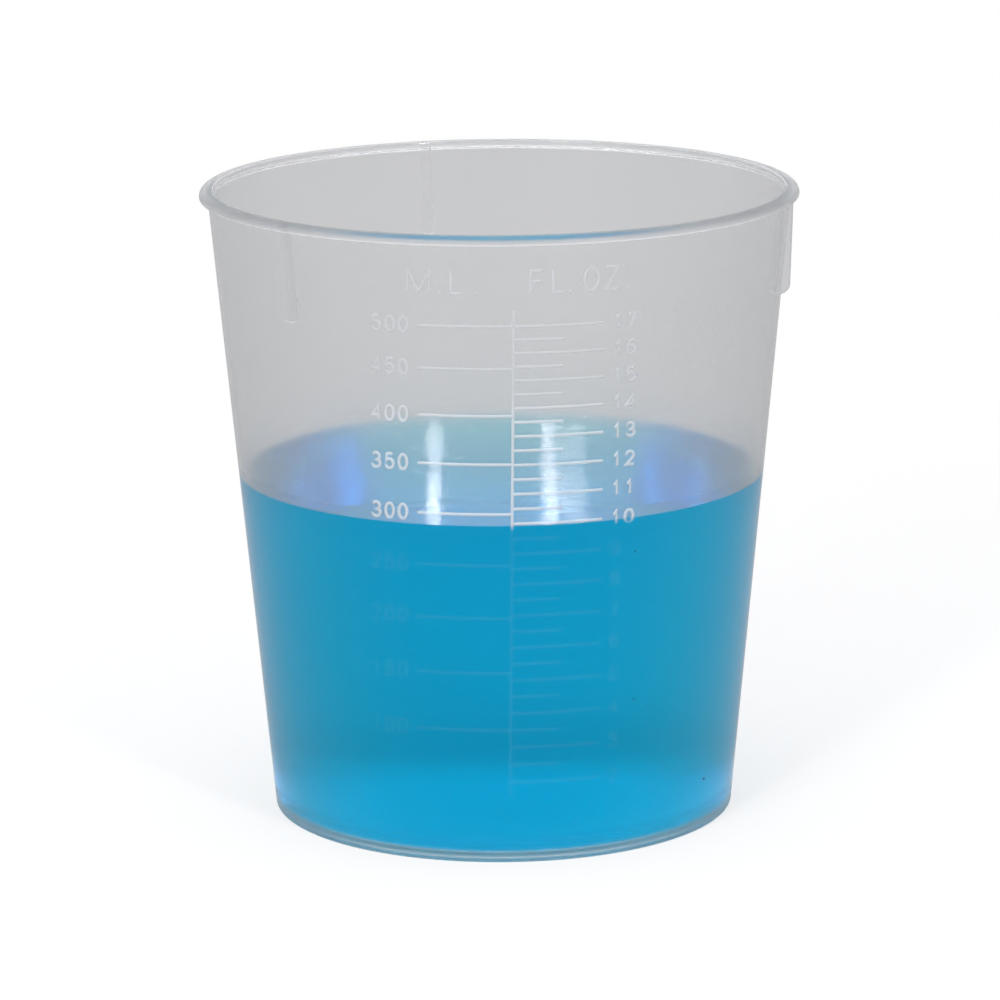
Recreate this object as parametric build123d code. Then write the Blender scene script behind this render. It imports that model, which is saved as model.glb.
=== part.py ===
from build123d import *
import math
import os

# A clear moulded measuring beaker that tapers towards its base, with blue liquid in it.
# Lengths are in millimetres. The beaker stands on Z = 0 and its scale faces -Y.

# Beaker wall and floor
height = 106.0
wall_top_diameter = 97.4
wall_base_diameter = 77.7
wall = 1.0
floor = 1.0
floor_corner_bevel = 0.8
base_edge_bevel = 0.4

# Shallow recess that leaves a foot ring under the base, with the moulding gate's pip in it
foot_recess = 0.4
foot_ring_width = 4.0
gate_pip_diameter = 3.0
gate_pip_height = 0.25

# Lip turned out round the mouth
rim_diameter = 100.0
lip_height = 1.5
lip_edge_radius = 1.1
lip_under_bevel = 0.3
mouth_edge_bevel = 0.25

# Fins under the lip, which hold stacked beakers apart
fin_count = 3
fin_first_angle = -14.7
fin_drop = 16.5
fin_thickness = 1.5
fin_lip_setback = 0.1
fin_draft = 2.0
fin_corner_radius = 1.6

# Scale moulded on the outside: ounce lines to the right of the datum line, millilitres to the left
ounce = 29.5735
ounce_first = 2
ounce_last = 17
millilitre_first = 100
millilitre_last = 500
millilitre_step = 50
line_width = 0.4
line_relief = 0.2
line_root = 0.3
datum_offset = 1.6
datum_overrun_top = 2.5
datum_overrun_bottom = 2.6
millilitre_length = 15.2
ounce_length = 14.5
half_ounce_length = 8.0

# The millilitre lines stand a little above their own volume, so that the top one meets the
# last ounce line. The whole scale leans a little to the right at its top.
millilitre_lead = 3.0
millilitre_lead_per_litre = 7.0
scale_lean = 0.8

# Liquid, from the floor of the cup to its surface
liquid_depth = 56.5

# Worked out from the sizes above
taper = (wall_top_diameter - wall_base_diameter) / 2 / height
floor_top = foot_recess + floor
rim_radius = rim_diameter / 2
lip_bottom = height - lip_height
front = -90.0


def outer_radius(z):
    """Radius of the wall's outside at height z."""
    return wall_base_diameter / 2 + taper * z


def inner_radius(z):
    """Radius of the wall's inside at height z."""
    return outer_radius(z) - wall * math.hypot(1, taper)


def floor_corner():
    """Radius and height of the corner where the inside of the wall meets the floor."""
    return (inner_radius(floor_top), floor_top)


def fill_height(millilitres):
    """Height of the surface when the beaker holds this volume."""
    floor_radius = inner_radius(floor_top)
    surface_radius = math.cbrt(floor_radius**3 + 3 * taper * millilitres * 1000 / math.pi)
    return floor_top + (surface_radius - floor_radius) / taper


def turned(points, bevels, rounds=()):
    """A form turned about the Z axis from an outline of (radius, height) points. Bevels and
    rounds are pairs of a point of the outline and the size of its bevel or radius."""
    outline = make_face(Polyline(*points, close=True))
    for corner, size in bevels:
        outline = chamfer(outline.vertices().sort_by_distance(corner)[0], size)
    for corner, radius in rounds:
        outline = fillet(outline.vertices().sort_by_distance(corner)[0], radius)
    return revolve(Plane.XZ * outline, Axis.Z)


def cup():
    """The beaker's wall, floor, foot ring and lip as one turned form."""
    foot_radius = outer_radius(0) - foot_ring_width
    base_edge = (outer_radius(0), 0)
    lip_under_edge = (rim_radius, lip_bottom)
    lip_edge = (rim_radius, height)
    mouth_edge = (inner_radius(height), height)
    inside_corner = floor_corner()
    points = [
        (0, foot_recess),
        (foot_radius, foot_recess),
        (foot_radius, 0),
        base_edge,
        (outer_radius(lip_bottom), lip_bottom),
        lip_under_edge,
        lip_edge,
        mouth_edge,
        inside_corner,
        (0, floor_top),
    ]
    bevels = [
        (base_edge, base_edge_bevel),
        (lip_under_edge, lip_under_bevel),
        (mouth_edge, mouth_edge_bevel),
        (inside_corner, floor_corner_bevel),
    ]
    return turned(points, bevels, [(lip_edge, lip_edge_radius)])


def gate_pip():
    """Round pip that the moulding gate leaves in the middle of the recess under the base."""
    pip_top = foot_recess + floor / 2
    pip_bottom = foot_recess - gate_pip_height
    return Pos(0, 0, pip_bottom) * extrude(Circle(gate_pip_diameter / 2), pip_top - pip_bottom)


def fin():
    """One stacking fin, in the XZ plane, from inside the wall to just short of the lip's edge."""
    bottom = height - fin_drop
    top = height - lip_height / 2
    outer_top = rim_radius - fin_lip_setback
    outer_bottom = outer_top - math.tan(math.radians(fin_draft)) * (top - bottom)
    path = FilletPolyline(
        (outer_radius(bottom) - wall / 2, 0, bottom),
        (outer_bottom, 0, bottom),
        (outer_top, 0, top),
        (outer_radius(top) - wall / 2, 0, top),
        radius=[fin_corner_radius, 0],
    )
    side = make_face(path.edges() + Line(path @ 1, path @ 0).edges())
    return extrude(side, fin_thickness / 2, dir=(0, 1, 0), both=True)


def fins():
    """The stacking fins, evenly spaced round the lip."""
    spacing = 360 / fin_count
    return [Rot(0, 0, fin_first_angle + i * spacing) * fin() for i in range(fin_count)]


def scale_middle():
    """Height at which the leaning scale is at its stated place from side to side."""
    return (fill_height(ounce_first * ounce) + fill_height(ounce_last * ounce)) / 2


def leaned(x, z):
    """Where a point that lies x to the right of the middle of the front goes on the leaning scale."""
    return x + math.tan(math.radians(scale_lean)) * (z - scale_middle())


def scale_line(z, x_start, x_end):
    """A level raised line on the wall's outside at height z, between two places across the front."""
    radius = outer_radius(z)
    start = math.degrees(math.asin(leaned(x_start, z) / radius))
    end = math.degrees(math.asin(leaned(x_end, z) / radius))
    low = z - line_width / 2
    high = z + line_width / 2
    section = Polyline(
        (radius - line_root, 0, low),
        (radius + line_relief, 0, low),
        (radius + line_relief, 0, high),
        (radius - line_root, 0, high),
        close=True,
    )
    return Rot(0, 0, front + start) * revolve(make_face(section), Axis.Z, end - start)


def datum_line():
    """The raised upright line that the two scales share."""
    low = fill_height(ounce_first * ounce) - datum_overrun_bottom
    high = fill_height(ounce_last * ounce) + datum_overrun_top
    side = Polyline(
        (0, line_root - outer_radius(low), low),
        (0, -line_relief - outer_radius(low), low),
        (0, -line_relief - outer_radius(high), high),
        (0, line_root - outer_radius(high), high),
        close=True,
    )
    bar = extrude(make_face(side), line_width / 2, dir=(1, 0, 0), both=True)
    middle = scale_middle()
    return Pos(datum_offset, 0, middle) * Rot(0, scale_lean, 0) * Pos(0, 0, -middle) * bar


def ounce_lines():
    """A long line for each whole ounce and a short one for each half."""
    lines = []
    for halves in range(2 * ounce_first, 2 * ounce_last + 1):
        length = half_ounce_length if halves % 2 else ounce_length
        z = fill_height(halves / 2 * ounce)
        lines.append(scale_line(z, datum_offset, datum_offset + length))
    return lines


def millilitre_lines():
    """A line for each step of the millilitre scale."""
    lines = []
    for mark in range(millilitre_first, millilitre_last + 1, millilitre_step):
        z = millilitre_height(mark)
        lines.append(scale_line(z, datum_offset - millilitre_length, datum_offset))
    return lines


def millilitre_height(mark):
    """Height of a millilitre line. The last one is level with the last ounce line."""
    if mark == millilitre_last:
        return fill_height(ounce_last * ounce)
    return fill_height(mark + millilitre_lead + millilitre_lead_per_litre * mark / 1000)


def beaker():
    """The whole moulding: cup, gate pip, fins and raised scale."""
    return cup() + gate_pip() + fins() + datum_line() + ounce_lines() + millilitre_lines()


def liquid():
    """The liquid, which fills the cup from wall to wall up to its surface."""
    surface = floor_top + liquid_depth
    corner = floor_corner()
    points = [
        (0, surface),
        (inner_radius(surface), surface),
        corner,
        (0, floor_top),
    ]
    return turned(points, [(corner, floor_corner_bevel)])


nodes = {
    "beaker": beaker,
    "liquid": liquid,
}

os.makedirs("parts", exist_ok=True)
for name, make in nodes.items():
    export_step(make(), f"parts/{name}.step")
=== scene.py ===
import math

import bmesh
import bpy
from mathutils import Matrix, Vector

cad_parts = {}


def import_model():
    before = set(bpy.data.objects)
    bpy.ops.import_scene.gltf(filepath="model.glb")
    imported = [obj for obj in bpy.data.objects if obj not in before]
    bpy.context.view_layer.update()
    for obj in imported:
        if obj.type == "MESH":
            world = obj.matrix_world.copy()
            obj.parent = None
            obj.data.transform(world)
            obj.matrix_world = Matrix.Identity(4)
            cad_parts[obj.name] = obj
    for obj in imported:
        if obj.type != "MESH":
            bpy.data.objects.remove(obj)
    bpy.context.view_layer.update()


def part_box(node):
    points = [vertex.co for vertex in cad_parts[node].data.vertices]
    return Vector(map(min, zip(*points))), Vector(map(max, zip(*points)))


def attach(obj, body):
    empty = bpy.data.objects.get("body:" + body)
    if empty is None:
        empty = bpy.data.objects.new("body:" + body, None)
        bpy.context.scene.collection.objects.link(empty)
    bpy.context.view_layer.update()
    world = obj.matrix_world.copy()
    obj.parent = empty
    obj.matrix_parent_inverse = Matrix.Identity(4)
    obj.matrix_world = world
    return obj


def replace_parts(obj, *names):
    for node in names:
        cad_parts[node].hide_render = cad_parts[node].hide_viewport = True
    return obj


# A clear moulded measuring beaker with blue liquid in it. Lengths are in metres, and the raised
# scale faces -Y.

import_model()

MM = 0.001

# Sizes from the frame
BEAKER_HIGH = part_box("beaker")[1]
LIQUID_LOW, LIQUID_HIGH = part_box("liquid")
HEIGHT = BEAKER_HIGH.z
RIM_RADIUS = BEAKER_HIGH.x
FLOOR_TOP = LIQUID_LOW.z
SURFACE = LIQUID_HIGH.z

# Wall, floor and foot
WALL_TOP_RADIUS = 48.7 * MM
WALL_BASE_RADIUS = 38.85 * MM
WALL = 1.0 * MM
FOOT_RECESS = 0.4 * MM
FOOT_RING_WIDTH = 4.0 * MM
GATE_PIP_RADIUS = 1.5 * MM
GATE_PIP_HEIGHT = 0.25 * MM
BASE_EDGE_ROUND = 0.5 * MM
FLOOR_CORNER_ROUND = 0.9 * MM
SMALL_ROUND = 0.15 * MM
TAPER = (WALL_TOP_RADIUS - WALL_BASE_RADIUS) / HEIGHT

# Lip and stacking fins
LIP_HEIGHT = 1.5 * MM
LIP_EDGE_ROUND = 1.1 * MM
LIP_UNDER_ROUND = 0.35 * MM
MOUTH_EDGE_ROUND = 0.3 * MM
FIN_ANGLES = (-14.7, 105.3, 225.3)
FIN_DROP = 16.5 * MM
FIN_THICKNESS = 1.5 * MM
FIN_LIP_SETBACK = 0.1 * MM
FIN_DRAFT = math.radians(2.0)
FIN_CORNER_ROUND = 1.6 * MM
FIN_EDGE_ROUND = 0.25 * MM
FIN_EDGE_STEPS = 3
FIN_EDGE_ANGLE = math.radians(60)

# Scale: ounce lines to the right of the datum line, millilitre lines to the left
OUNCE = 29.5735
OUNCES = range(2, 18)
MILLILITRES = range(100, 501, 50)
MILLILITRE_LEAD = 3.0
MILLILITRE_LEAD_PER_LITRE = 7.0
SCALE_LEAN = math.tan(math.radians(0.8))
DATUM_X = 1.6 * MM
DATUM_OVERRUN_TOP = 2.5 * MM
DATUM_OVERRUN_BOTTOM = 2.6 * MM
MILLILITRE_LENGTH = 15.2 * MM
OUNCE_LENGTH = 14.5 * MM
HALF_OUNCE_LENGTH = 8.0 * MM
MARK_WIDTH = 0.5 * MM
MARK_RELIEF = 0.15 * MM
MARK_ROOT = 0.06 * MM

# Numbers beside the scale and unit marks over it
DIGIT_WIDTH = 1.8 * MM
DIGIT_PITCH = 2.15 * MM
MILLILITRE_DIGIT_HEIGHT = 2.95 * MM
OUNCE_DIGIT_HEIGHT = 2.7 * MM
NUMBER_STROKE = 0.5 * MM
MILLILITRE_NUMBER_RIGHT = -15.05 * MM
OUNCE_NUMBER_LEFT = 17.4 * MM
UNIT_HEIGHT = 4.15 * MM
UNIT_STROKE = 0.5 * MM
UNIT_BOTTOM = 96.35 * MM

# Left edge and width of each unit mark, in millimetres
UNIT_LETTERS = (
    ("M", -15.5, 3.9),
    (".", -10.7, 1.0),
    ("L", -8.7, 3.0),
    (".", -5.1, 1.0),
    ("F", 4.0, 2.8),
    ("L", 7.5, 3.0),
    (".", 10.1, 1.0),
    ("O", 12.6, 2.6),
    ("Z", 15.8, 2.9),
    (".", 19.3, 1.0),
)

# Wear on the outside of the wall: start and end of each scratch, and place and width of each pale
# speck and dark spot, in millimetres across and up the front
SCRATCH_WIDTH = 0.16 * MM
SCRATCHES = (
    ((6.24, 68.8), (8.5, 66.9)),
    ((8.5, 66.9), (10.1, 65.9)),
)
PALE_SPECKS = (
    (-33.1, 93.3, 0.5),
    (-32.6, 92.6, 0.35),
    (-16.8, 72.9, 0.4),
    (-5.3, 71.8, 0.45),
    (-24.0, 54.6, 0.35),
    (-1.5, 31.1, 0.3),
)
DARK_SPOTS = (
    (21.6, 52.2, 0.35),
    (21.7, 26.7, 0.35),
    (34.0, 9.0, 0.5),
)

# Fineness of the meshes: steps round the axis, longest straight run, support next to each end of a
# run, steps of a rounding, and steps of curved and straight marks
TURN_SEGMENTS = 256
LONGEST_RUN = 6.0 * MM
RUN_SUPPORT = 0.1 * MM
ARC_STEPS = 5
CURVE_STEP = math.radians(12)
LINE_STEP = 1.0 * MM
SHARP_ANGLE = math.radians(40)

# How far the liquid reaches into the wall, so that no air shows between them
LIQUID_OVERLAP = 0.03 * MM

# Camera, from the outline of the rim, wall and base in the photo
CAMERA_PLACE = (0, -831.8 * MM, 245.4 * MM)
CAMERA_YAW = 0.0003
CAMERA_PITCH = -0.2284
CAMERA_ROLL = 0.0075
CAMERA_LENS = 181.79
CAMERA_SENSOR = 36.0

# Clear plastic, with a share of hazy plastic in it
PLASTIC_COLOUR = (0.985, 0.987, 0.99)
PLASTIC_IOR = 1.49
PLASTIC_ROUGHNESS = 0.08
HAZE_ROUGHNESS = 0.5
OUTSIDE_SPECULAR = 0.25
WAVE_SCALE = 60.0
WAVE_DETAIL = 2.0
WAVE_STRENGTH = 0.12
WAVE_DEPTH = 0.05 * MM
FIN_IOR = 1.06
FIN_HAZE = 0.2
LIP_HAZE = 1.0
INSIDE_HAZE = 0.1
WET_HAZE = 0.32
FLOOR_HAZE = 0.08

# Share of hazy plastic outside, by height: (share of the beaker's height, share of haze)
OUTSIDE_HAZE = ((0.0, 1.0), (0.018, 0.6), (0.05, 0.08), (0.5, 0.08), (0.56, 0.2), (1.0, 0.2))

# Painted white sheen of the marks, standing in for the light they catch, painted strongest just
# above the liquid and nearly none below it: its colour, and (share of the beaker's height, share of
# sheen)
MARK_SHEEN_COLOUR = (0.49, 0.51, 0.54)
MARK_SHEEN_ROUGHNESS = 0.5
MARK_SHEEN_BY_HEIGHT = ((0.0, 0.02), (0.54, 0.02), (0.55, 0.75), (0.71, 0.75), (0.77, 0.35), (1.0, 0.35))

# Dirt in the dark spots
DIRT_COLOUR = (0.06, 0.05, 0.09)
DIRT_ROUGHNESS = 0.6

# Liquid: the colour at its surfaces, and what passes through its depth
LIQUID_COLOUR = (0.7, 0.93, 1.0)
LIQUID_IOR = 1.333
LIQUID_DEPTH_COLOUR = (0.04, 0.946, 0.995)
LIQUID_DENSITY = 120.0

# Brightness of the backdrop: (sine of the angle above the horizon, brightness)
BACKDROP = ((0.0, 0.84), (0.235, 0.84), (0.27, 1.05), (0.45, 1.05), (0.6, 0.95), (1.0, 0.95))
BACKDROP_COLOUR = (0.985, 0.99, 1.02)

# Floor: what the camera sees fades to plain white between two distances from the middle. Through
# the plastic it is grey, with a painted pool of light that glows close under the beaker.
FLOOR_SIZE = 3.0
FLOOR_COLOUR = 0.35
FLOOR_WHITE = 0.6
FLOOR_WHITE_FROM = 0.12
FLOOR_WHITE_TO = 0.35
FLOOR_GREY = 0.18
FLOOR_PAINTED_GLOW = 0.6
FLOOR_PAINTED_GLOW_FROM = 0.03
FLOOR_PAINTED_GLOW_TO = 0.06

# Softboxes in front of the beaker: name, azimuth in degrees, width and radiance
SOFTBOX_DISTANCE = 1.6
SOFTBOX_ELEVATION = 24
SOFTBOX_HEIGHT = 0.2
SOFTBOXES = (
    ("softbox_right", 32, 0.15, 85.0),
    ("softbox_left", -23, 0.17, 85.0),
    ("softbox_far_left", -34, 0.32, 30.0),
)

# Light paths
BOUNCES = 64
BRIGHTEST_REFLECTION = 90.0


def outer_radius(z):
    """Radius of the wall's outside at height z."""
    return WALL_BASE_RADIUS + TAPER * z


def inner_radius(z):
    """Radius of the wall's inside at height z."""
    return outer_radius(z) - WALL * math.hypot(1, TAPER)


def fill_height(millilitres):
    """Height of the surface when the beaker holds this volume."""
    floor_radius = inner_radius(FLOOR_TOP)
    cubed = floor_radius**3 + 3 * TAPER * millilitres * 1e-6 / math.pi
    return FLOOR_TOP + (cubed ** (1 / 3) - floor_radius) / TAPER


SCALE_MIDDLE = (fill_height(OUNCES[0] * OUNCE) + fill_height(OUNCES[-1] * OUNCE)) / 2


def rounded(corners):
    """An outline from (radius, height, rounding) corners, with an arc at each rounded corner."""
    outline = []
    count = len(corners)
    for i, (r, z, rounding) in enumerate(corners):
        here = Vector((r, z))
        if not rounding:
            outline.append([here])
            continue
        before = (Vector(corners[i - 1][:2]) - here).normalized()
        after = (Vector(corners[(i + 1) % count][:2]) - here).normalized()
        half = before.angle(after) / 2
        centre = here + (before + after).normalized() * rounding / math.sin(half)
        start = here + before * rounding / math.tan(half)
        turn = (start - centre).angle_signed(here + after * rounding / math.tan(half) - centre)
        arc = []
        for step in range(ARC_STEPS + 1):
            arc.append(centre + Matrix.Rotation(-turn * step / ARC_STEPS, 2) @ (start - centre))
        outline.append(arc)
    return outline


def with_runs(outline):
    """The outline as one list of points, with its long straight runs split, and a point close to
    each end of a run so that the shading of the run stays even."""
    points = list(outline[0])
    for arc, following in zip(outline, outline[1:]):
        start = arc[-1]
        run = following[0] - start
        if run.length > 4 * RUN_SUPPORT:
            pieces = math.ceil(run.length / LONGEST_RUN)
            shares = [k / pieces for k in range(1, pieces)]
            support = RUN_SUPPORT / run.length
            points += [start + run * share for share in [support, *shares, 1 - support]]
        points += following
    return points


def new_object(name, bm):
    """A piece made from a bmesh, with all its faces smooth and its real edges sharp."""
    bmesh.ops.recalc_face_normals(bm, faces=bm.faces)
    mesh = bpy.data.meshes.new(name)
    bm.to_mesh(mesh)
    bm.free()
    for polygon in mesh.polygons:
        polygon.use_smooth = True
    mesh.set_sharp_from_angle(angle=SHARP_ANGLE)
    obj = bpy.data.objects.new(name, mesh)
    bpy.context.scene.collection.objects.link(obj)
    return obj


def turned(name, corners):
    """A closed form turned about the Z axis. Its first and last corners are on the axis."""
    bm = bmesh.new()
    rings = []
    for point in with_runs(rounded(corners)):
        if point.x < 1e-9:
            rings.append([bm.verts.new((0, 0, point.y))])
            continue
        ring = []
        for i in range(TURN_SEGMENTS):
            angle = 2 * math.pi * i / TURN_SEGMENTS
            ring.append(bm.verts.new((point.x * math.cos(angle), point.x * math.sin(angle), point.y)))
        rings.append(ring)
    for low, high in zip(rings, rings[1:]):
        for i in range(TURN_SEGMENTS):
            j = (i + 1) % TURN_SEGMENTS
            if len(low) == 1:
                bm.faces.new((low[0], high[i], high[j]))
            elif len(high) == 1:
                bm.faces.new((low[i], low[j], high[0]))
            else:
                bm.faces.new((low[i], low[j], high[j], high[i]))
    return new_object(name, bm)


def cup():
    """The wall, floor, foot ring, gate pip and lip."""
    foot_radius = outer_radius(0) - FOOT_RING_WIDTH
    lip_bottom = HEIGHT - LIP_HEIGHT
    corners = [
        (0, FOOT_RECESS - GATE_PIP_HEIGHT, 0),
        (GATE_PIP_RADIUS, FOOT_RECESS - GATE_PIP_HEIGHT, SMALL_ROUND / 2),
        (GATE_PIP_RADIUS, FOOT_RECESS, 0),
        (foot_radius, FOOT_RECESS, SMALL_ROUND),
        (foot_radius, 0, SMALL_ROUND),
        (outer_radius(0), 0, BASE_EDGE_ROUND),
        (outer_radius(lip_bottom), lip_bottom, SMALL_ROUND),
        (RIM_RADIUS, lip_bottom, LIP_UNDER_ROUND),
        (RIM_RADIUS, HEIGHT, LIP_EDGE_ROUND),
        (inner_radius(HEIGHT), HEIGHT, MOUTH_EDGE_ROUND),
        (inner_radius(FLOOR_TOP), FLOOR_TOP, FLOOR_CORNER_ROUND),
        (0, FLOOR_TOP, 0),
    ]
    return turned("cup", corners)


def liquid():
    """The liquid, which meets the wall all round and the floor."""
    low = FLOOR_TOP - LIQUID_OVERLAP
    corners = [
        (0, low, 0),
        (inner_radius(low) + LIQUID_OVERLAP, low, FLOOR_CORNER_ROUND),
        (inner_radius(SURFACE) + LIQUID_OVERLAP, SURFACE, 0),
        (0, SURFACE, 0),
    ]
    return turned("liquid_fill", corners)


def fins():
    """The stacking fins under the lip, which start inside the wall."""
    bottom = HEIGHT - FIN_DROP
    top = HEIGHT - LIP_HEIGHT / 2
    outer_top = RIM_RADIUS - FIN_LIP_SETBACK
    outer_bottom = outer_top - math.tan(FIN_DRAFT) * (top - bottom)
    corners = [
        (outer_radius(bottom) - WALL / 2, bottom, 0),
        (outer_bottom, bottom, FIN_CORNER_ROUND),
        (outer_top, top, 0),
        (outer_radius(top) - WALL / 2, top, 0),
    ]
    side = [point for arc in rounded(corners) for point in arc]
    bm = bmesh.new()
    for degrees in FIN_ANGLES:
        turn = Matrix.Rotation(math.radians(degrees), 3, "Z")
        sheets = []
        for y in (-FIN_THICKNESS / 2, FIN_THICKNESS / 2):
            sheets.append([bm.verts.new(turn @ Vector((p.x, y, p.y))) for p in side])
        near, far = sheets
        bm.faces.new(near)
        bm.faces.new(reversed(far))
        for i in range(len(side)):
            j = (i + 1) % len(side)
            bm.faces.new((near[i], far[i], far[j], near[j]))
    obj = new_object("stacking_fins", bm)
    bevel = obj.modifiers.new("rounded edges", "BEVEL")
    bevel.width = FIN_EDGE_ROUND
    bevel.segments = FIN_EDGE_STEPS
    bevel.limit_method = "ANGLE"
    bevel.angle_limit = FIN_EDGE_ANGLE
    return obj


def on_wall(x, z, out):
    """A point of the leaning scale, x to the right of the middle and out from the wall's outside."""
    leaned = x + SCALE_LEAN * (z - SCALE_MIDDLE)
    radius = outer_radius(z)
    angle = math.asin(leaned / radius)
    return Vector(((radius + out) * math.sin(angle), -(radius + out) * math.cos(angle), z))


# Half of a mark's section: share of the half width, and share of the relief
MARK_SECTION = ((1.0, 0.0), (1.0, 0.35), (0.86, 0.72), (0.55, 0.94), (0.18, 1.0))

# Rounding of a mark's ends: share of the width from the end, and share of the full section
MARK_ENDS = ((0.0, 0.5), (0.12, 0.82), (0.36, 1.0))


def mark(bm, path, width, closed=False):
    """A raised mark of rounded section along a path of (x, z) points on the scale."""
    points = [Vector(p) for p in path]
    scales = [1.0] * len(points)
    if not closed:
        start_way = (points[1] - points[0]).normalized() * width
        end_way = (points[-2] - points[-1]).normalized() * width
        starts = [points[0] + start_way * share for share, _ in MARK_ENDS]
        ends = [points[-1] + end_way * share for share, _ in reversed(MARK_ENDS)]
        end_scales = [scale for _, scale in MARK_ENDS]
        points = starts + points[1:-1] + ends
        scales = end_scales + scales[1:-1] + end_scales[::-1]
    count = len(points)
    rings = []
    for i, point in enumerate(points):
        before = point - points[i - 1] if closed or i else points[1] - point
        after = points[(i + 1) % count] - point if closed or i < count - 1 else before
        before.normalize()
        after.normalize()
        along = (before + after).normalized()
        mitre = 1 / max(along.dot(after), 0.5)
        across = Vector((-along.y, along.x)) * width / 2 * mitre * scales[i]
        section = [(-s, o) for s, o in MARK_SECTION] + [(s, o) for s, o in reversed(MARK_SECTION)]
        section = [(-1.0, None), *section, (1.0, None)]
        ring = []
        for share, rise in section:
            place = point + across * share
            out = -MARK_ROOT if rise is None else MARK_RELIEF * rise * scales[i]
            ring.append(bm.verts.new(on_wall(place.x, place.y, out)))
        rings.append(ring)
    pairs = list(zip(rings, rings[1:]))
    if closed:
        pairs.append((rings[-1], rings[0]))
    else:
        bm.faces.new(rings[0])
        bm.faces.new(reversed(rings[-1]))
    for ring, following in pairs:
        for k in range(len(ring)):
            m = (k + 1) % len(ring)
            face = bm.faces.new((ring[k], following[k], following[m], ring[m]))
            face.material_index = 1 if m == 0 else 0


def straight(start, end):
    """Points along a straight line that bends round the wall."""
    pieces = max(2, math.ceil((Vector(end) - Vector(start)).length / LINE_STEP))
    return [Vector(start).lerp(Vector(end), k / pieces) for k in range(pieces + 1)]


def millilitre_height(value):
    """Height of a millilitre line. The last one is level with the last ounce line."""
    if value == MILLILITRES[-1]:
        return fill_height(OUNCES[-1] * OUNCE)
    return fill_height(value + MILLILITRE_LEAD + MILLILITRE_LEAD_PER_LITRE * value / 1000)


def scale_lines():
    """The datum line with the lines of both scales."""
    bm = bmesh.new()
    low = fill_height(OUNCES[0] * OUNCE) - DATUM_OVERRUN_BOTTOM
    high = fill_height(OUNCES[-1] * OUNCE) + DATUM_OVERRUN_TOP
    mark(bm, straight((DATUM_X, low), (DATUM_X, high)), MARK_WIDTH)
    for halves in range(2 * OUNCES[0], 2 * OUNCES[-1] + 1):
        length = HALF_OUNCE_LENGTH if halves % 2 else OUNCE_LENGTH
        z = fill_height(halves / 2 * OUNCE)
        mark(bm, straight((DATUM_X, z), (DATUM_X + length, z)), MARK_WIDTH)
    for value in MILLILITRES:
        z = millilitre_height(value)
        mark(bm, straight((DATUM_X - MILLILITRE_LENGTH, z), (DATUM_X, z)), MARK_WIDTH)
    return new_object("scale_lines", bm)


def arc(x, y, half_width, half_height, start, end):
    """Points of an elliptical arc between two angles in degrees. It turns left if end > start."""
    steps = max(2, round(abs(math.radians(end - start)) / CURVE_STEP))
    angles = [math.radians(start + (end - start) * k / steps) for k in range(steps + 1)]
    return [(x + half_width * math.cos(a), y + half_height * math.sin(a)) for a in angles]


def loop(x, y, half_width, half_height):
    """Points of a whole ellipse, without its first point again at the end."""
    return arc(x, y, half_width, half_height, 0, 360)[:-1]


# Strokes of each character in a box of width 1 and height 1. True marks a closed stroke.
STROKES = {
    "0": [(loop(0.5, 0.5, 0.5, 0.5), True)],
    "1": [([(0.14, 0.74), (0.34, 0.8), (0.48, 0.88), (0.56, 1.0), (0.56, 0.0)], False)],
    "2": [([*arc(0.49, 0.72, 0.47, 0.28, 175, -38), (0.02, 0.0), (1.0, 0.0)], False)],
    "3": [([*arc(0.48, 0.75, 0.43, 0.25, 160, -82), *arc(0.48, 0.26, 0.5, 0.26, 75, -162)], False)],
    "4": [([(0.74, 0.0), (0.74, 1.0), (0.0, 0.28), (1.0, 0.28)], False)],
    "5": [([(0.9, 1.0), (0.2, 1.0), (0.08, 0.5), *arc(0.48, 0.32, 0.5, 0.32, 128, -158)], False)],
    "6": [
        (loop(0.5, 0.31, 0.48, 0.31), True),
        (arc(0.56, 0.48, 0.54, 0.52, 190, 42), False),
    ],
    "7": [([(0.0, 1.0), (1.0, 1.0), (0.62, 0.52), (0.42, 0.0)], False)],
    "8": [(loop(0.5, 0.76, 0.42, 0.24), True), (loop(0.5, 0.26, 0.5, 0.26), True)],
    "9": [
        (loop(0.5, 0.69, 0.48, 0.31), True),
        (arc(0.44, 0.52, 0.54, 0.52, 10, -138), False),
    ],
    "M": [([(0.0, 0.0), (0.0, 1.0), (0.5, 0.04), (1.0, 1.0), (1.0, 0.0)], False)],
    "L": [([(0.0, 1.0), (0.0, 0.0), (0.8, 0.0)], False)],
    "F": [([(0.0, 0.0), (0.0, 1.0), (0.85, 1.0)], False), ([(0.0, 0.52), (0.75, 0.52)], False)],
    "O": [(loop(0.5, 0.5, 0.55, 0.5), True)],
    "Z": [([(0.0, 1.0), (0.9, 1.0), (0.0, 0.0), (0.95, 0.0)], False)],
    ".": [([(0.0, 0.0), (1.0, 0.0)], False)],
}


def character(bm, name, left, bottom, width, height, stroke):
    """A raised character in a box of this width and height."""
    for points, closed in STROKES[name]:
        path = []
        for x, y in points:
            path_x = left + stroke / 2 + x * (width - stroke)
            path.append((path_x, bottom + stroke / 2 + y * (height - stroke)))
        mark(bm, path, stroke, closed)


def number(bm, value, left, middle, height):
    """A raised number, with its middle at this height on the scale."""
    for place, digit in enumerate(str(value)):
        digit_left = left + place * DIGIT_PITCH
        character(bm, digit, digit_left, middle - height / 2, DIGIT_WIDTH, height, NUMBER_STROKE)


def numbers():
    """The numbers beside the lines."""
    bm = bmesh.new()
    for value in MILLILITRES:
        left = MILLILITRE_NUMBER_RIGHT - DIGIT_PITCH * (len(str(value)) - 1) - DIGIT_WIDTH
        number(bm, value, left, millilitre_height(value), MILLILITRE_DIGIT_HEIGHT)
    for value in OUNCES:
        number(bm, value, OUNCE_NUMBER_LEFT, fill_height(value * OUNCE), OUNCE_DIGIT_HEIGHT)
    return new_object("scale_numbers", bm)


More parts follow.
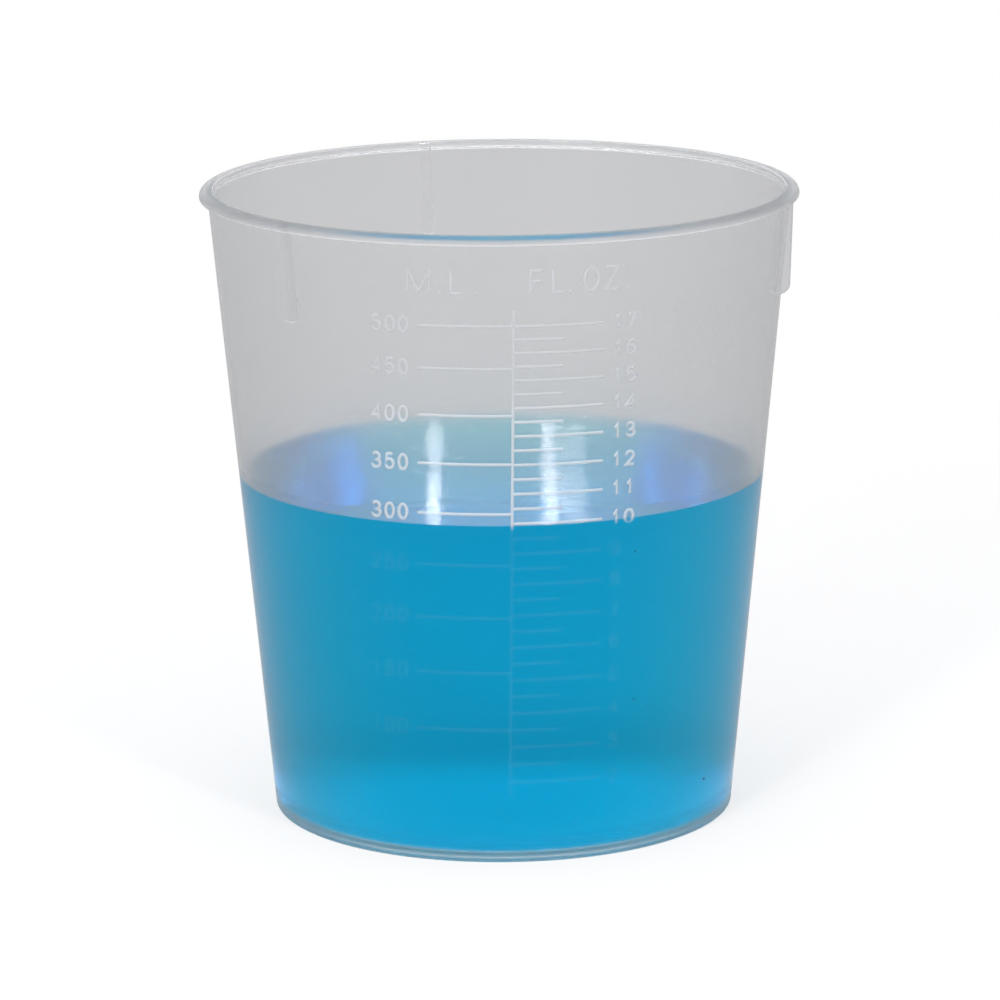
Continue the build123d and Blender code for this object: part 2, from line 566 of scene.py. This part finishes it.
def unit_marks():
    """Plain unit marks over the two scales."""
    bm = bmesh.new()
    for letter, left, width in UNIT_LETTERS:
        character(bm, letter, left * MM, UNIT_BOTTOM, width * MM, UNIT_HEIGHT, UNIT_STROKE)
    return new_object("unit_marks", bm)


def speck(bm, x, z, size):
    """A small raised speck."""
    across = size * MM / 4
    mark(bm, [(x * MM - across, z * MM), (x * MM + across, z * MM)], size * MM)


def wear():
    """The scratch and the pale specks."""
    bm = bmesh.new()
    for start, end in SCRATCHES:
        mark(bm, straight([v * MM for v in start], [v * MM for v in end]), SCRATCH_WIDTH)
    for x, z, size in PALE_SPECKS:
        speck(bm, x, z, size)
    return new_object("wear", bm)


def dark_spots():
    """Small dark spots of dirt on the wall."""
    bm = bmesh.new()
    for x, z, size in DARK_SPOTS:
        speck(bm, x, z, size)
    return new_object("dark_spots", bm)


def dirt():
    """Dark dull dirt."""
    made, tree, output = material("dirt")
    shader = tree.nodes.new("ShaderNodeBsdfPrincipled")
    shader.inputs["Base Color"].default_value = (*DIRT_COLOUR, 1)
    shader.inputs["Roughness"].default_value = DIRT_ROUGHNESS
    tree.links.new(shader.outputs["BSDF"], output.inputs["Surface"])
    return made


def material(name):
    """An empty node material, with its node tree and output."""
    made = bpy.data.materials.new(name)
    made.use_nodes = True
    tree = made.node_tree
    tree.nodes.clear()
    return made, tree, tree.nodes.new("ShaderNodeOutputMaterial")


def glass(tree, colour, ior, roughness, specular):
    """A see-through shader."""
    shader = tree.nodes.new("ShaderNodeBsdfPrincipled")
    shader.inputs["Base Color"].default_value = (*colour, 1)
    shader.inputs["Transmission Weight"].default_value = 1.0
    shader.inputs["IOR"].default_value = ior
    shader.inputs["Roughness"].default_value = roughness
    shader.inputs["Specular Tint"].default_value = (specular, specular, specular, 1)
    return shader


def ramp(tree, value, stops):
    """The level at a value from 0 to 1, from stops of (value, level)."""
    node = tree.nodes.new("ShaderNodeValToRGB")
    elements = node.color_ramp.elements
    while len(elements) < len(stops):
        elements.new(0.5)
    for element, (place, level) in zip(elements, stops):
        element.position = place
        element.color = (level, level, level, 1)
    tree.links.new(value, node.inputs["Fac"])
    return node.outputs["Color"]


def by_height(tree, stops):
    """A level that goes by height, from stops of (share of the beaker's height, level)."""
    place = tree.nodes.new("ShaderNodeNewGeometry")
    apart = tree.nodes.new("ShaderNodeSeparateXYZ")
    height = tree.nodes.new("ShaderNodeMapRange")
    height.inputs["From Max"].default_value = HEIGHT
    tree.links.new(place.outputs["Position"], apart.inputs["Vector"])
    tree.links.new(apart.outputs["Z"], height.inputs["Value"])
    return ramp(tree, height.outputs["Result"], stops)


def waves(tree):
    """Faint waves from the mould, as a normal."""
    place = tree.nodes.new("ShaderNodeTexCoord")
    noise = tree.nodes.new("ShaderNodeTexNoise")
    noise.inputs["Scale"].default_value = WAVE_SCALE
    noise.inputs["Detail"].default_value = WAVE_DETAIL
    bump = tree.nodes.new("ShaderNodeBump")
    bump.inputs["Strength"].default_value = WAVE_STRENGTH
    bump.inputs["Distance"].default_value = WAVE_DEPTH
    tree.links.new(place.outputs["Object"], noise.inputs["Vector"])
    tree.links.new(noise.outputs["Fac"], bump.inputs["Height"])
    return bump.outputs["Normal"]


def clear_plastic(name, specular, haze, ior=PLASTIC_IOR):
    """Clear natural polypropylene, of which a share scatters the light that comes through it. The
    share is one number, or stops by height."""
    made, tree, output = material(name)
    clear = glass(tree, PLASTIC_COLOUR, ior, PLASTIC_ROUGHNESS, specular)
    scatter = glass(tree, PLASTIC_COLOUR, ior, HAZE_ROUGHNESS, specular)
    mix = tree.nodes.new("ShaderNodeMixShader")
    if isinstance(haze, tuple):
        tree.links.new(by_height(tree, haze), mix.inputs["Fac"])
    else:
        mix.inputs["Fac"].default_value = haze
    normal = waves(tree)
    for shader, side in ((clear, 1), (scatter, 2)):
        tree.links.new(normal, shader.inputs["Normal"])
        tree.links.new(shader.outputs["BSDF"], mix.inputs[side])
    tree.links.new(mix.outputs["Shader"], output.inputs["Surface"])
    return made


def mark_plastic():
    """A painted white sheen on the raised marks, standing in for the light they catch. It is painted
    by height, so that it hardly shows where liquid is behind it.
    """
    made, tree, output = material("clear_plastic_marks_painted_sheen")
    through = tree.nodes.new("ShaderNodeBsdfTransparent")
    painted_sheen = tree.nodes.new("ShaderNodeBsdfPrincipled")
    painted_sheen.inputs["Base Color"].default_value = (*MARK_SHEEN_COLOUR, 1)
    painted_sheen.inputs["Roughness"].default_value = MARK_SHEEN_ROUGHNESS
    with_painted_sheen = tree.nodes.new("ShaderNodeMixShader")
    # Painted sheen by height: strong just above the liquid, less higher up, nearly none below it
    tree.links.new(by_height(tree, MARK_SHEEN_BY_HEIGHT), with_painted_sheen.inputs["Fac"])
    tree.links.new(through.outputs["BSDF"], with_painted_sheen.inputs[1])
    tree.links.new(painted_sheen.outputs["BSDF"], with_painted_sheen.inputs[2])
    tree.links.new(with_painted_sheen.outputs["Shader"], output.inputs["Surface"])
    return made


def root_plastic():
    """The side of a mark that lies inside the wall, where nothing shows."""
    made, tree, output = material("clear_plastic_root")
    nothing = tree.nodes.new("ShaderNodeBsdfTransparent")
    tree.links.new(nothing.outputs["BSDF"], output.inputs["Surface"])
    return made


def blue_liquid():
    """Clear blue liquid, which takes most of the red out of the light. Only its level surface
    reflects as liquid does in air, because its sides and base are wet plastic."""
    made, tree, output = material("blue_liquid_fill")
    shader = glass(tree, LIQUID_COLOUR, LIQUID_IOR, 0.0, 1.0)
    place = tree.nodes.new("ShaderNodeNewGeometry")
    apart = tree.nodes.new("ShaderNodeSeparateXYZ")
    level = tree.nodes.new("ShaderNodeMath")
    level.operation = "GREATER_THAN"
    level.inputs[1].default_value = 0.5
    depth = tree.nodes.new("ShaderNodeVolumeAbsorption")
    depth.inputs["Color"].default_value = (*LIQUID_DEPTH_COLOUR, 1)
    depth.inputs["Density"].default_value = LIQUID_DENSITY
    tree.links.new(place.outputs["True Normal"], apart.inputs["Vector"])
    tree.links.new(apart.outputs["Z"], level.inputs[0])
    tree.links.new(level.outputs["Value"], shader.inputs["Specular Tint"])
    tree.links.new(shader.outputs["BSDF"], output.inputs["Surface"])
    tree.links.new(depth.outputs["Volume"], output.inputs["Volume"])
    return made


def smooth_range(tree, value, start, end, low, high):
    """A level that goes smoothly from low to high while the value goes from start to end."""
    node = tree.nodes.new("ShaderNodeMapRange")
    node.interpolation_type = "SMOOTHSTEP"
    node.inputs["From Min"].default_value = start
    node.inputs["From Max"].default_value = end
    node.inputs["To Min"].default_value = low
    node.inputs["To Max"].default_value = high
    tree.links.new(value, node.inputs["Value"])
    return node.outputs["Result"]


def lit(tree, surface, brightness):
    """A surface that also gives off plain light."""
    light = tree.nodes.new("ShaderNodeEmission")
    if isinstance(brightness, float):
        light.inputs["Strength"].default_value = brightness
    else:
        tree.links.new(brightness, light.inputs["Strength"])
    both = tree.nodes.new("ShaderNodeAddShader")
    tree.links.new(surface, both.inputs[0])
    tree.links.new(light.outputs["Emission"], both.inputs[1])
    return both.outputs["Shader"]


def mixed(tree, share, first, second):
    """A mix of two shaders."""
    node = tree.nodes.new("ShaderNodeMixShader")
    tree.links.new(share, node.inputs["Fac"])
    tree.links.new(first, node.inputs[1])
    tree.links.new(second, node.inputs[2])
    return node.outputs["Shader"]


def floor_material():
    """A pale floor that looks white to the camera, with the object's shadow, and grey in
    reflections and through the plastic, with a painted pool of light close under the beaker."""
    made, tree, output = material("floor")
    surface = tree.nodes.new("ShaderNodeBsdfDiffuse")
    surface.inputs["Color"].default_value = (FLOOR_COLOUR, FLOOR_COLOUR, FLOOR_COLOUR, 1)
    plain = surface.outputs["BSDF"]
    white = tree.nodes.new("ShaderNodeEmission")
    path = tree.nodes.new("ShaderNodeLightPath")
    place = tree.nodes.new("ShaderNodeTexCoord")
    length = tree.nodes.new("ShaderNodeVectorMath")
    length.operation = "LENGTH"
    tree.links.new(place.outputs["Object"], length.inputs[0])
    distance = length.outputs["Value"]
    fade = smooth_range(tree, distance, FLOOR_WHITE_FROM, FLOOR_WHITE_TO, 0, 1)
    for_camera = mixed(tree, fade, lit(tree, plain, FLOOR_WHITE), white.outputs["Emission"])
    # Painted pool of light: the floor gives off more light close under the beaker, seen only in
    # reflections and through the plastic
    painted_glow = smooth_range(tree, distance, FLOOR_PAINTED_GLOW_FROM, FLOOR_PAINTED_GLOW_TO, FLOOR_PAINTED_GLOW, FLOOR_GREY)
    seen = tree.nodes.new("ShaderNodeMath")
    seen.operation = "MAXIMUM"
    tree.links.new(path.outputs["Is Transmission Ray"], seen.inputs[0])
    tree.links.new(path.outputs["Is Glossy Ray"], seen.inputs[1])
    for_light = mixed(tree, seen.outputs["Value"], plain, lit(tree, plain, painted_glow))
    whole = mixed(tree, path.outputs["Is Camera Ray"], for_light, for_camera)
    tree.links.new(whole, output.inputs["Surface"])
    return made


def floor():
    """The floor that the beaker stands on."""
    bm = bmesh.new()
    half = FLOOR_SIZE / 2
    corners = ((-half, -half, 0), (half, -half, 0), (half, half, 0), (-half, half, 0))
    bm.faces.new([bm.verts.new(corner) for corner in corners])
    obj = new_object("floor", bm)
    obj.data.materials.append(floor_material())


def world():
    """White for the camera, and the pale grey backdrop for all other light."""
    made = bpy.data.worlds.new("studio")
    made.use_nodes = True
    tree = made.node_tree
    tree.nodes.clear()
    output = tree.nodes.new("ShaderNodeOutputWorld")
    white = tree.nodes.new("ShaderNodeBackground")
    white.inputs["Color"].default_value = (1, 1, 1, 1)
    grey = tree.nodes.new("ShaderNodeBackground")
    grey.inputs["Color"].default_value = (*BACKDROP_COLOUR, 1)
    place = tree.nodes.new("ShaderNodeTexCoord")
    apart = tree.nodes.new("ShaderNodeSeparateXYZ")
    path = tree.nodes.new("ShaderNodeLightPath")
    tree.links.new(place.outputs["Generated"], apart.inputs["Vector"])
    tree.links.new(ramp(tree, apart.outputs["Z"], BACKDROP), grey.inputs["Strength"])
    seen = path.outputs["Is Camera Ray"]
    whole = mixed(tree, seen, grey.outputs["Background"], white.outputs["Background"])
    tree.links.new(whole, output.inputs["Surface"])
    bpy.context.scene.world = made


def softbox(name, azimuth, width, radiance):
    """A soft light in front of the beaker, which shows as a bar in the liquid's surface. Its
    azimuth turns from -Y towards +X."""
    data = bpy.data.lights.new(name, "AREA")
    data.shape = "RECTANGLE"
    data.size = width
    data.size_y = SOFTBOX_HEIGHT
    data.energy = radiance * math.pi * width * SOFTBOX_HEIGHT
    obj = bpy.data.objects.new(name, data)
    a = math.radians(azimuth)
    e = math.radians(SOFTBOX_ELEVATION)
    way = Vector((math.sin(a) * math.cos(e), -math.cos(a) * math.cos(e), math.sin(e)))
    obj.location = Vector((0, 0, HEIGHT / 2)) + way * SOFTBOX_DISTANCE
    obj.rotation_euler = way.to_track_quat("Z", "Y").to_euler()
    obj.visible_camera = False
    bpy.context.scene.collection.objects.link(obj)


def camera():
    """The photo's camera."""
    data = bpy.data.cameras.new("camera")
    data.lens = CAMERA_LENS
    data.sensor_width = CAMERA_SENSOR
    data.clip_start = 0.01
    obj = bpy.data.objects.new("camera", data)
    turn = Matrix.Rotation(CAMERA_YAW, 3, "Z") @ Matrix.Rotation(CAMERA_PITCH, 3, "X")
    turn = turn @ Matrix.Rotation(CAMERA_ROLL, 3, "Y") @ Matrix.Rotation(math.pi / 2, 3, "X")
    obj.matrix_world = Matrix.Translation(CAMERA_PLACE) @ turn.to_4x4()
    bpy.context.scene.collection.objects.link(obj)
    bpy.context.scene.camera = obj


def dress(obj, finish):
    """Gives a piece its material, and lets it ride on the object's one body."""
    obj.data.materials.append(finish)
    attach(obj, "root")
    return obj


def finish_of_face(polygon):
    """Which of the cup's materials a face has: 0 outside, 1 dry inside, 2 wet inside, 3 lip and
    4 floor."""
    radius = math.hypot(polygon.center.x, polygon.center.y)
    z = polygon.center.z
    if radius < WALL_BASE_RADIUS - FOOT_RING_WIDTH and z > FOOT_RECESS / 2:
        return 4
    if z > FLOOR_TOP and radius < inner_radius(z) + WALL / 4:
        return 1 if z > SURFACE else 2
    return 3 if z > HEIGHT - LIP_HEIGHT else 0


def build_cup():
    """The cup, which stands for the CAD beaker."""
    outside = clear_plastic("clear_plastic_outside", OUTSIDE_SPECULAR, OUTSIDE_HAZE)
    piece = dress(cup(), outside)
    for finish in (
        clear_plastic("clear_plastic_inside", 1.0, INSIDE_HAZE),
        clear_plastic("clear_plastic_wet", 0.0, WET_HAZE),
        clear_plastic("clear_plastic_lip", OUTSIDE_SPECULAR, LIP_HAZE),
        clear_plastic("clear_plastic_floor", 0.0, FLOOR_HAZE),
    ):
        piece.data.materials.append(finish)
    for polygon in piece.data.polygons:
        polygon.material_index = finish_of_face(polygon)
    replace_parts(piece, "beaker")


def build_details():
    """The fins, the scale and the wear on the cup."""
    faint = clear_plastic("clear_plastic_fins", OUTSIDE_SPECULAR, FIN_HAZE, FIN_IOR)
    dress(fins(), faint)
    # The marks and the wear all carry the painted white sheen that stands in for the light they catch
    with_painted_sheen = mark_plastic()
    root = root_plastic()
    for piece in (scale_lines(), numbers(), unit_marks(), wear()):
        dress(piece, with_painted_sheen)
        piece.data.materials.append(root)
    spots = dress(dark_spots(), dirt())
    spots.data.materials.append(root)


def build_liquid():
    """The liquid, which stands for the CAD liquid."""
    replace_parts(dress(liquid(), blue_liquid()), "liquid")


def build_studio():
    """Floor, world, lights, camera and view."""
    floor()
    world()
    for box in SOFTBOXES:
        softbox(*box)
    camera()
    scene = bpy.context.scene
    scene.view_settings.view_transform = "Standard"
    scene.cycles.max_bounces = BOUNCES
    scene.cycles.glossy_bounces = BOUNCES
    scene.cycles.transmission_bounces = BOUNCES
    scene.cycles.sample_clamp_indirect = BRIGHTEST_REFLECTION


build_cup()
build_details()
build_liquid()
build_studio()
